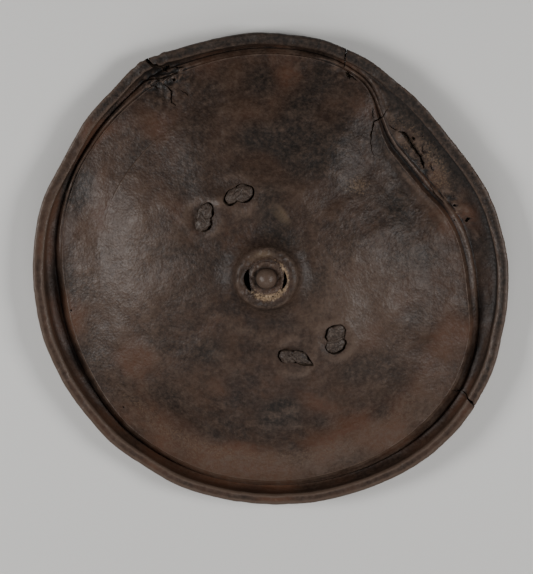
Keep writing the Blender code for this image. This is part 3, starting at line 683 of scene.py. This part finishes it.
def blade(points, width, depth, seed):
    # a crack's cutter: a ragged V along the points, or a straight wall where it goes right through
    draw = np.random.default_rng(seed)
    path = smoothLine([clockPlace(*point) for point in points], 4)
    ends = np.vstack([[path[0]] * 3, path, [path[-1]] * 3])
    along = ends[6:] - ends[:-6]
    side = np.stack([along[:, 1], -along[:, 0]], 1) / np.linalg.norm(along, axis=1)[:, None]
    path[1:-1] += side[1:-1] * draw.normal(0, cuts["wander"], len(path) - 2)[:, None]
    share = np.linspace(-1, 1, len(path))
    half = 0.5 * width * (1 - 0.9 * share ** 2) * draw.uniform(0.55, 1.35, len(path)) + 0.00008
    rings = []
    for place, across, reachOut in zip(path, side, half):
        top = surfaceHeight(*place)
        lean = draw.normal(0, 0.15)
        levels = [(top + cuts["above"], 1.0, 0.0), (top + 0.0005, 1.0, 0.0), (top - (depth or 0.0045), 0.12, lean)]
        if depth is None:
            levels.append((cuts["below"], 0.1, lean))
        left, right = ([(*(place + across * reachOut * (shift + way * share)), level)
                        for level, share, shift in levels] for way in (-1, 1))
        rings.append(left + right[::-1])
    return ringsMesh(rings)


def crescent(clock, halfSpan, radius, width, seed):
    # a crescent slot's cutter: a bar swept round part of a circle, thinner at both ends
    draw = np.random.default_rng(seed)
    rings = []
    for share in np.linspace(-1, 1, 19):
        half = 0.5 * width * (1 - 0.85 * share ** 2) * draw.uniform(0.9, 1.1)
        turn = clock + share * halfSpan
        inner, outer = clockPlace(turn, radius - half), clockPlace(turn, radius + half)
        rings.append([(*inner, 0.05), (*outer, 0.05), (*outer, 0.1), (*inner, 0.1)])
    return ringsMesh(rings)


def raggedHole(clock, radius, long, wide, turn, depth, seed):
    # a star of corners round the hole's middle, narrowing to its floor
    draw = np.random.default_rng(seed)
    middle = np.array(clockPlace(clock, radius))
    across, up = circle(22)
    star = draw.uniform(0.62, 1.15, 22)
    ring = np.stack([long * across * star, wide * up * star], 1) @ np.array(Matrix.Rotation(math.radians(turn), 2)).T
    top = surfaceHeight(*middle)
    return ringsMesh([np.column_stack([middle + ring * share, np.full(22, level)])
                      for share, level in ((0.45, top - depth), (1.0, top + 0.001), (1.0, top + cuts["above"]))])


def pinHole(clock, distance, radius, seed):
    # a rod of uneven roundness that starts narrow under the hide and is full above it
    middle = clockPlace(clock, distance)
    across, up = circle(14)
    wobble = radius * np.random.default_rng(seed).uniform(0.85, 1.12, 14)
    ring = np.stack([wobble * across, wobble * up], 1)
    return ringsMesh([np.column_stack([middle + ring * share, np.full(14, level)])
                      for share, level in ((0.3, cuts["below"]), (1.0, 0.08))])


def lobeGrid(px, py, height, turn, length, width, rise, tail, rows, around):
    # an ellipsoid whose far end is drawn out to a point, tilted to lie on the dome
    polar = np.linspace(0, np.pi, rows + 2)[1:-1, None]
    round_ = np.linspace(0, 2 * np.pi, around, endpoint=False)[None, :]
    lx = -np.cos(polar) * np.ones_like(round_)
    thin = 1 - tail * softStep(lx, -0.1, 1.0)
    ly = np.sin(polar) * np.cos(round_) * thin
    lz = np.sin(polar) * np.sin(round_) * (0.5 + 0.5 * thin)
    local = np.stack([lx * length * (1 + 0.25 * tail * (lx > 0) * lx), ly * width, lz * rise], 2)
    ends = np.array([[-length, 0, 0], [length * (1 + 0.25 * tail), 0, 0]])
    spin = lobeFrame(px, py, turn)
    place = np.array([px, py, height])
    return local @ spin.T + place, ends @ spin.T + place


def lobeSizes(lobe):  # a lobe's values in metres, its middle moved with the boss
    px, py, turn, length, width, rise, tail = lobe[:7]
    return px / 1000 + centre[0], py / 1000 + centre[1], turn, length / 1000, width / 1000, rise / 1000, tail


def lobeFrame(px, py, turn):  # the directions along, across and out of a lobe that lies on the dome
    radius = math.hypot(px, py)
    slope = domeSlope(radius)
    normal = Vector((slope * px / radius, slope * py / radius, 1)).normalized()
    return np.array(standing(normal) @ Matrix.Rotation(math.radians(turn), 3, "Z"))


def seatCut(lobe, seed):
    # the lobe's outline, grown unevenly and most to one side, with steep walls and a rounded floor
    px, py, turn, length, width, rise, tail = lobeSizes(lobe)
    widest = np.array(lobe[7:9]) / 1000
    lx, ly = circle(36)
    outline = np.stack([lx * length * (1 + 0.25 * tail * (lx > 0) * lx),
                        ly * width * (1 - tail * softStep(lx, -0.1, 1.0))], 1)
    outward = outline / np.linalg.norm(outline, axis=1)[:, None]
    frameTurn = lobeFrame(px, py, turn)
    facing = np.clip(outward @ (frameTurn[:2, :2].T @ widest), 0, 1)
    rough = 0.5 + 0.5 * softNoise(outline[:, 0], outline[:, 1], 0.008, seed)
    grow = cuts["gap"] + facing + 0.0005 * np.clip(rough, 0, 1.5)
    place = np.array([px, py, domeHeight(math.hypot(px, py))])
    steps = ((-rise - 0.0008, 0.35), (-0.8 * rise - 0.0006, 0.72), (-0.4 * rise, 0.96), (0.0, 1.0),
             (cuts["above"], 1.0))
    return ringsMesh([np.column_stack([outline * share + outward * grow[:, None], np.full(36, level)])
                      @ frameTurn.T + place for level, share in steps])


def cutterSet(name, shapes):
    verts, faces, start = [], [], 0
    for corners, sides in shapes:
        verts.append(corners)
        faces += [[start + k for k in side] for side in sides]
        start += len(corners)
    mesh = bpy.data.meshes.new(name)
    mesh.from_pydata(np.vstack(verts).tolist(), [], faces)
    cutter = put(name, mesh, tornHide)
    work = bmesh.new()
    work.from_mesh(mesh)
    bmesh.ops.recalc_face_normals(work, faces=work.faces)
    work.to_mesh(mesh)
    work.free()
    mesh.shade_smooth()
    return cutter


handle = {
    "thongRadius": 0.0045,
    "thongGap": 0.001,
    "neckGap": 0.0016,
    "gripHeight": 0.0115,
    "gripLength": 0.072,
    "gripWall": 0.0026,
    "gripBend": 0.05,
    "twistLength": 0.034,
    # clock angle and distance of the four holes
    "holes": {"upperA": (311.6, 0.0905), "upperB": (342.4, 0.0905), "lowerB": (132.9, 0.095),
              "lowerA": (161.5, 0.0923)},
    "wrapTurns": 6,
    "squareness": 3.4,
}


def holeFrame(label):  # a hole's middle on the front, and the surface's normal there
    clock, radius = handle["holes"][label]
    turn, slope = math.radians(clock), domeSlope(radius)
    normal = np.array([slope * math.sin(turn), slope * math.cos(turn), 1.0])
    return np.array([*clockPlace(clock, radius), domeHeight(radius)]), normal / np.linalg.norm(normal)


def neckHole(label):  # the round hole that a thong comes out through
    place, normal = holeFrame(label)
    across, up = circle(20)
    bore = handle["thongRadius"] + handle["neckGap"]
    return ringsMesh([np.column_stack([bore * across, bore * up, np.full(20, level)])
                      @ np.array(standing(normal)).T + place for level in (cuts["below"], 0.004)])


cuts = {
    # clock angle and distance of the points, then the width and the depth, or None where it goes right through
    "through": [
        (((42.4, 0.2012), (44.1, 0.2039), (47.2, 0.2019), (49.8, 0.201), (51.9, 0.2004), (54.6, 0.1985),
          (56.2, 0.1958)), 0.0056, None),
        (((18.4, 0.262), (18.9, 0.25), (19.3, 0.241), (20.0, 0.229)), 0.0022, None),
        (((122.9, 0.272), (122.6, 0.256), (122.2, 0.243)), 0.0022, None),
        (((331.4, 0.272), (330.2, 0.256), (331.6, 0.245), (332.8, 0.236)), 0.0044, None),
    ],
    "shallow": [
        (((35.7, 0.2158), (35.9, 0.2026), (34.8, 0.1937), (36.2, 0.182), (37.9, 0.1743), (42.6, 0.1631)),
         0.0019, 0.0034),
        (((330.4, 0.228), (331.4, 0.216), (330.2, 0.208), (330.7, 0.2007)), 0.0019, 0.0036),
        (((20.6, 0.227), (22.4, 0.224), (24.6, 0.2215)), 0.0016, 0.003),
    ],
    # clock angle and distance, half length and half width, turn, depth
    "holes": ((332.9, 0.2412, 0.005, 0.0028, 25, 0.005), (75.2, 0.2168, 0.004, 0.0022, 30, 0.0048),
              (47.0, 0.2075, 0.003, 0.0018, -40, 0.004), (70.2, 0.208, 0.0022, 0.0016, 0, 0.0035),
              (21.6, 0.2235, 0.0056, 0.0024, -50, 0.004), (333.4, 0.2262, 0.003, 0.002, 10, 0.0034)),
    "branches": [
        (((32.0, 0.205), (33.2, 0.1985), (34.2, 0.195)), 0.0013, 0.0026),
        (((326.2, 0.244), (328.0, 0.2385), (330.4, 0.2345), (334.6, 0.2315)), 0.002, 0.0034),
        (((39.0, 0.2005), (40.6, 0.2), (42.0, 0.202)), 0.0015, 0.0026),
        (((121.2, 0.2445), (122.8, 0.24), (123.4, 0.233)), 0.001, 0.0024),
        (((333.6, 0.24), (335.4, 0.2365), (337.0, 0.233)), 0.0018, 0.0032),
        (((327.4, 0.2345), (328.2, 0.229), (329.0, 0.224)), 0.0013, 0.0026),
        (((333.6, 0.214), (334.9, 0.2085), (335.2, 0.2035)), 0.001, 0.0022),
        (((50.4, 0.2095), (51.6, 0.206), (52.6, 0.2068)), 0.0013, 0.0026),
        (((56.0, 0.2052), (57.4, 0.203), (58.2, 0.2046)), 0.0011, 0.0024),
        (((61.5, 0.1932), (65.0, 0.194), (68.4, 0.1985)), 0.001, 0.002),
    ],
    # clock angle, distance and radius
    "pins": ((258.3, 0.2172, 0.0017), (226.5, 0.2172, 0.0017), (45.6, 0.2119, 0.001), (48.2, 0.2158, 0.0014),
             (54.4, 0.2134, 0.0013), (67.6, 0.2103, 0.0013), (74.9, 0.2172, 0.0025), (74.2, 0.2033, 0.001),
             (67.5, 0.1712, 0.0011), (327.2, 0.2505, 0.0011), (52.4, 0.208, 0.0009)),
    # clock angle, half span, distance, width and seed
    "crescents": ((264, 33, 0.0208, 0.0062, 1), (97, 27, 0.0196, 0.0036, 2)),
    "gap": 0.0004,
    "wander": 0.00045,
    "above": 0.03,
    "below": -0.02,
}


def fromRows(maker, rows, seed):  # one cutter from each row, each with its own seed
    return [maker(*row, seed + k) for k, row in enumerate(rows)]


def seats(number, seed):  # the seats of each knot's lobe of that number
    return [seatCut(lobes[number], seed + k) for k, lobes in enumerate(knots.values())]


firstSet = fromRows(blade, cuts["through"], 300) + fromRows(blade, cuts["shallow"], 120)
firstSet += [crescent(*row) for row in cuts["crescents"]] + fromRows(pinHole, cuts["pins"], 140) + seats(0, 190)
secondSet = fromRows(blade, cuts["branches"], 160) + seats(1, 195)
thirdSet = fromRows(raggedHole, cuts["holes"], 180) + [neckHole(label) for label in handle["holes"]]
for name, shapes in (("firstCuts", firstSet), ("secondCuts", secondSet), ("thirdCuts", thirdSet)):
    combine(shell, cutterSet(name, shapes), "DIFFERENCE", "TRANSFER")
shell.data.shade_smooth()
shell.data.set_sharp_from_angle(angle=math.radians(38))
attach(shell, "root")
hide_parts("hide_shell")
print("shell cut", len(shell.data.polygons), "faces")

# The handle: two twisted thongs, each with a folded knot at both ends, and the sleeve that binds them.

def gripAxis():  # from the upper pair of holes to the lower pair, level
    places = {label: holeFrame(label)[0] for label in handle["holes"]}
    along = places["lowerA"] + places["lowerB"] - places["upperA"] - places["upperB"]
    along[2] = 0
    return along / np.linalg.norm(along)


grip = gripAxis()
gripAcross = np.array([grip[1], -grip[0], 0.0])


def thongRoute(start, end, aside):
    side = gripAcross * aside
    middle = np.array([*centre, 0.0])
    rows = []
    for label, sign in ((start, -1), (end, 1)):
        place, normal = holeFrame(label)
        inner = middle + grip * sign * handle["gripBend"] + 1.4 * side
        knee = place - normal * (hide["thickness"] + 2.6 * handle["thongRadius"])
        mid = knee * 0.62 + inner * 0.38
        mid[2] = handle["gripHeight"] + 0.5 * (knee[2] - handle["gripHeight"])
        inner[2] = handle["gripHeight"] + 0.04 * (knee[2] - handle["gripHeight"])
        rows.append([place, place - normal * hide["thickness"], knee, mid, inner])
    held = [middle + grip * sign * handle["gripLength"] / 4 + side + np.array([0, 0, handle["gripHeight"]])
            for sign in (-1, 1)]
    return smoothLine(rows[0] + held + rows[1][::-1], 12)


def thongTube(route):
    # a twisted strip: a round section squeezed to a rounded bar, turning once per twist length
    along = np.gradient(route, axis=0)
    along /= np.linalg.norm(along, axis=1, keepdims=True)
    side = along * (along @ gripAcross)[:, None] - gripAcross
    side /= np.linalg.norm(side, axis=1, keepdims=True)
    other = np.cross(along, side)
    travelled = np.concatenate([[0], np.cumsum(np.linalg.norm(np.diff(route, axis=0), axis=1))])[:, None]
    turn = np.linspace(0, 2 * np.pi, 28, endpoint=False)[None, :]
    twist = travelled / handle["twistLength"] * 2 * np.pi
    lie = np.cos(turn - twist)
    radius = handle["thongRadius"] * (0.93 + 0.1 * np.cos(2 * (turn - twist)) - 0.1 * bell(lie, 1, 0.05))
    radius += 0.00012 * softNoise(travelled, turn * 0.004, 0.01, 81)
    points = (route[:, None, :] + side[:, None, :] * (radius * np.cos(turn))[..., None]
              + other[:, None, :] * (radius * np.sin(turn))[..., None])
    # painted shade along the twist's groove
    paintedShade = 0.9 * bell(lie, 1, 0.07)
    wearAndSheen = 0.5 * np.clip(np.cos(2 * (turn - twist)), 0, 1)
    return points, {"wearAndSheen": wearAndSheen, "paintedShade": paintedShade}


def knotLobe(lobe, seed):
    px, py, turn, length, width, rise, tail = lobeSizes(lobe)
    height = domeHeight(math.hypot(px, py)) + 0.0002
    rings, ends = lobeGrid(px, py, height, turn, length, width, rise, tail, rows=40, around=56)
    normal = -gridNormals(rings)
    local = (rings - rings.mean((0, 1))) @ np.array(Matrix.Rotation(math.radians(turn), 3, "Z"))
    creases = (0.0003 * softNoise(local[..., 0] * 0.25, local[..., 1], 0.005, seed)
               + 0.00012 * softNoise(local[..., 0], local[..., 1], 0.006, seed + 1))
    rings = rings + normal * creases[..., None]
    wearAndSheen = 0.35 * softStep(rings[..., 2], height + 0.5 * rise, height + rise)
    # painted shade: darker towards the lobe's foot and in its creases
    paintedShade = 0.9 * softStep(rings[..., 2], height + 0.3 * rise, height - 0.2 * rise) - 900 * np.minimum(creases, 0)
    return rings, ends, {"wearAndSheen": wearAndSheen, "paintedShade": paintedShade}


def makeThong(name, start, end, aside, node_, seed):
    points, masksHere = thongTube(thongRoute(start, end, aside))
    thong = put(name, turnedMesh(name, points, points[0].mean(0), points[-1].mean(0), masksHere), thongHide)
    for label in (start, end):
        lumps = []
        for k, lobe in enumerate(knots[label]):
            rings, ends, lobeMasks = knotLobe(lobe, seed + 3 * k)
            lumps.append(put(f"{label}_lobe{k}", turnedMesh("lobe", rings, ends[0], ends[1], lobeMasks), thongHide))
        for one, other in ((lumps[0], lumps[1]), (lumps[0], lumps[2]), (thong, lumps[0])):
            combine(one, other, "UNION", "INDEX")
    thong.data.shade_smooth()
    thong.data.set_sharp_from_angle(angle=math.radians(50))
    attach(thong, "root")
    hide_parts(node_)
    return thong


gripSide = handle["thongRadius"] + handle["thongGap"] / 2
makeThong("handle_thong_a_twisted", "upperA", "lowerA", gripSide, "handle_thong_a", 200)
makeThong("handle_thong_b_twisted", "upperB", "lowerB", -gripSide, "handle_thong_b", 230)
print("thongs made")


def makeSleeve():
    # a rounded bar along the grip, with the overlapping turns of a wound strip and rounded ends
    up = np.array([0, 0, 1.0])
    halfLength = handle["gripLength"] / 2
    halfWidth = 2 * handle["thongRadius"] + handle["thongGap"] / 2 + handle["gripWall"]
    halfDepth = handle["thongRadius"] + handle["gripWall"]
    share = np.linspace(-1, 1, 150)[:, None]
    turn = np.linspace(0, 2 * np.pi, 96, endpoint=False)[None, :]
    across, deep = (np.sign(wave) * np.abs(wave) ** (2 / handle["squareness"]) * half
                    for wave, half in ((np.cos(turn), halfWidth), (np.sin(turn), halfDepth)))
    ends = np.sqrt(1 - 0.45 * np.clip((np.abs(share) - 0.93) / 0.07, 0, 1) ** 2)
    phase = (share * handle["wrapTurns"] + turn / (2 * np.pi)) % 1.0
    ridge = 0.0009 * (phase - 1) * softStep(phase, 0.0, 0.06) - 0.0004 * (1 - softStep(phase, 0.0, 0.1))
    swell = 1 + ridge / halfDepth
    points = (np.array([*centre, handle["gripHeight"]]) + grip * (share * halfLength)[..., None]
              + gripAcross * (across * ends * swell)[..., None] + up * (deep * ends * swell)[..., None])
    points = points + up * (0.00012 * softNoise(points[..., 0], points[..., 1], 0.012, 91))[..., None]
    # painted shade at the step under each overlapping turn
    paintedShade = 0.9 * (1 - softStep(phase, 0.0, 0.12))
    wearAndSheen = 0.6 * softStep(phase, 0.1, 0.2) * (1 - softStep(phase, 0.3, 0.6))
    mesh = turnedMesh("gripSleeve", points, points[0].mean(0), points[-1].mean(0), {"wearAndSheen": wearAndSheen, "paintedShade": paintedShade})
    sleeve = put("grip_sleeve_wound", mesh, sleeveHide)
    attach(sleeve, "root")
    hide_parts("grip_sleeve")
    return sleeve


makeSleeve()
print("sleeve made")

# The floor, the light and the camera.

stage = {
    "floorSize": 14.0,
    "floorColour": (0.62, 0.61, 0.59, 1),
    "worldColour": (0.8, 0.82, 0.85, 1),
    "worldStrength": 0.12,
    # place, size across, energy in watts
    "lamps": {"left": ((-1.9, 0.05, 1.5), 0.8, 47.0), "right": ((1.85, 0.05, 1.6), 0.8, 44.0),
              "below": ((0.1, -1.8, 1.6), 1.4, 12.0)},
}


def makeStage():
    size = stage["floorSize"] / 2
    mesh = bpy.data.meshes.new("floor")
    mesh.from_pydata([(-size, -size, 0), (size, -size, 0), (size, size, 0), (-size, size, 0)], [], [(0, 1, 2, 3)])
    material = bpy.data.materials.new("paleFloor")
    material.use_nodes = True
    shader = material.node_tree.nodes["Principled BSDF"]
    shader.inputs["Base Color"].default_value = stage["floorColour"]
    shader.inputs["Roughness"].default_value = 0.85
    floor = put("floor", mesh, material)
    floor.location.z = -0.0002
    world = bpy.data.worlds.new("studio")
    world.use_nodes = True
    sky = world.node_tree.nodes["Background"]
    sky.inputs[0].default_value = stage["worldColour"]
    sky.inputs[1].default_value = stage["worldStrength"]
    scene.world = world
    for name, (place, across, energy) in stage["lamps"].items():
        lamp = bpy.data.lights.new(name, "AREA")
        lamp.shape = "SQUARE"
        lamp.size = across
        lamp.energy = energy
        holder = bpy.data.objects.new(name, lamp)
        holder.location = place
        holder.rotation_euler = (Vector((0, 0, 0.03)) - Vector(place)).to_track_quat("-Z", "Y").to_euler()
        scene.collection.objects.link(holder)


view = {
    "distance": 2.4,
    "metresPerPixel": 0.001059,
    "leanRight": 3.0,
    "leanUp": 8.0,
    "imageSize": (533, 574),
    "shieldMiddle": (269.0, 272.8),
    "aimHeight": 0.031,
}


def makeCamera():
    # the camera stands a little above and to the right of the boss's axis, with +Y at the picture's top
    wide, tall = view["imageSize"]
    right, up = math.radians(view["leanRight"]), math.radians(view["leanUp"])
    target = Vector(((wide / 2 - view["shieldMiddle"][0]) * view["metresPerPixel"],
                     -(tall / 2 - view["shieldMiddle"][1]) * view["metresPerPixel"] / math.cos(up), view["aimHeight"]))
    away = Vector((math.sin(right), math.sin(up), 0))
    away.z = math.sqrt(1 - away.length_squared)
    side = Vector((0, 1, 0)).cross(away).normalized()
    top = away.cross(side)
    lens = bpy.data.cameras.new("camera")
    lens.sensor_width = 36
    lens.lens = view["distance"] / view["metresPerPixel"] * lens.sensor_width / max(wide, tall)
    camera = bpy.data.objects.new("camera", lens)
    turned = Matrix((side, top, away)).transposed().to_4x4()
    camera.matrix_world = Matrix.Translation(target + away * view["distance"]) @ turned
    scene.collection.objects.link(camera)
    scene.camera = camera


makeStage()
makeCamera()
print("stage, light and camera made")

bpy.context.view_layer.update()
